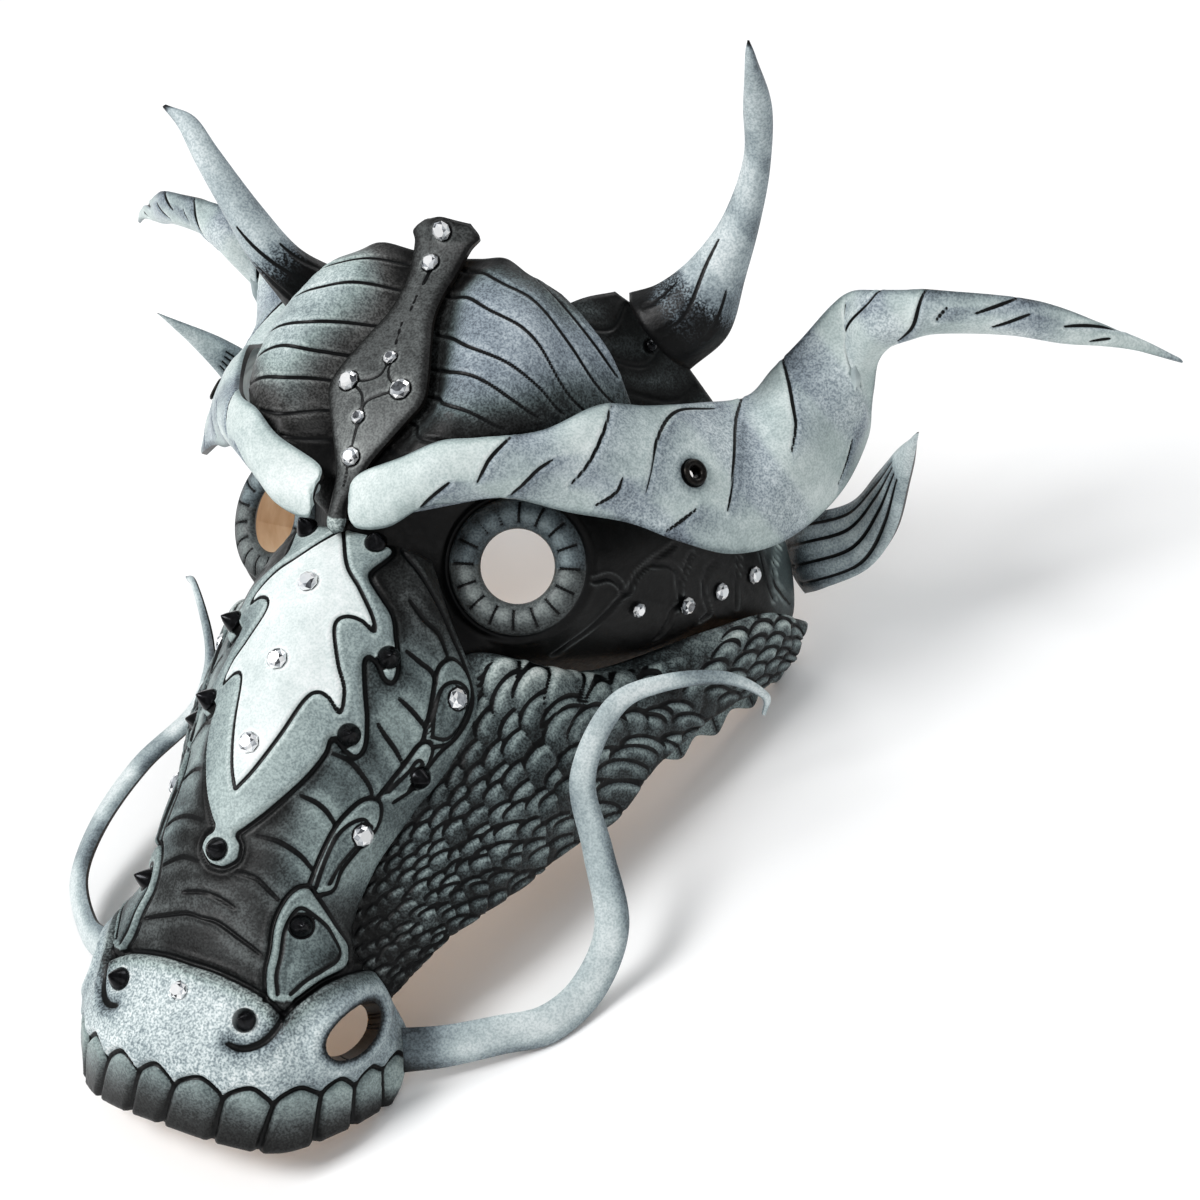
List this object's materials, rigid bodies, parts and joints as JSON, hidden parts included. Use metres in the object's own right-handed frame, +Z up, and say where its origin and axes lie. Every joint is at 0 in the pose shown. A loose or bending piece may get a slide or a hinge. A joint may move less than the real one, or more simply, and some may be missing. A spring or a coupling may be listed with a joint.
{
  "type": "dragon mask",
  "caption": "Moulded and carved leather dragon mask with a long toothed snout, domed brow, curling horns and whiskers, open eye holes and a hollow back to wear or display.",
  "frame": {"origin": "centre of the bounding box at floor level, the mask lying as it rests on its nose corners and jaw ends", "axes": "+X towards the dragon's left, along the span of the side horns; +Y towards the back of the head; +Z up, the snout pointing to -Y"},
  "size_m": [0.4506, 0.3452, 0.2387],
  "materials": {
    "pale_leather": "hand-painted pale teal-white, dry-brushed over black grooves",
    "grey_leather": "hand-painted speckled blue-grey",
    "dark_leather": "dark grey antiqued leather, satin",
    "scale_leather": "grey-teal carved scales with black grooves",
    "clear_stone": "clear faceted crystal",
    "black_metal": "gloss black cone studs",
    "eyelet_metal": "dark antiqued eyelet"
  },
  "bodies": {
    "root": {"band_rivet_left": "black_metal", "band_rivet_right": "black_metal", "brow_horn_left": "pale_leather", "brow_horn_right": "pale_leather", "cheek_left": "scale_leather", "cheek_right": "scale_leather", "crest": "dark_leather", "crest_stone_1": "clear_stone", "crest_stone_2": "clear_stone", "crest_stone_3": "clear_stone", "crest_stone_4": "clear_stone", "crest_stone_5": "clear_stone", "crest_stone_6": "clear_stone", "crest_stone_7": "clear_stone", "crown_band_left": "dark_leather", "crown_band_right": "dark_leather", "crown_horn_left": "pale_leather", "crown_horn_right": "pale_leather", "ear_left": "pale_leather", "ear_right": "pale_leather", "eye_mask_left": "dark_leather", "eye_mask_right": "dark_leather", "eyelet_left": "eyelet_metal", "eyelet_right": "eyelet_metal", "forehead": "grey_leather", "jaw_frill_left": "dark_leather", "jaw_frill_right": "dark_leather", "lobe_spike_left_1": "black_metal", "lobe_spike_left_2": "black_metal", "lobe_spike_right_1": "black_metal", "lobe_spike_right_2": "black_metal", "lobe_stone_left_1": "clear_stone", "lobe_stone_left_2": "clear_stone", "lobe_stone_right_1": "clear_stone", "lobe_stone_right_2": "clear_stone", "nose_spike_left": "black_metal", "nose_spike_right": "black_metal", "nose_stone": "clear_stone", "snout": "pale_leather", "temple_stone_left_1": "clear_stone", "temple_stone_left_2": "clear_stone", "temple_stone_left_3": "clear_stone", "temple_stone_left_4": "clear_stone", "temple_stone_right_1": "clear_stone", "temple_stone_right_2": "clear_stone", "temple_stone_right_3": "clear_stone", "temple_stone_right_4": "clear_stone", "whisker_left": "pale_leather", "whisker_right": "pale_leather", "zigzag_spike_left_1": "black_metal", "zigzag_spike_left_2": "black_metal", "zigzag_spike_left_3": "black_metal", "zigzag_spike_right_1": "black_metal", "zigzag_spike_right_2": "black_metal", "zigzag_spike_right_3": "black_metal", "zigzag_spike_tip": "black_metal", "zigzag_stone_1": "clear_stone", "zigzag_stone_2": "clear_stone", "zigzag_stone_3": "clear_stone"}
  },
  "joints": []
}
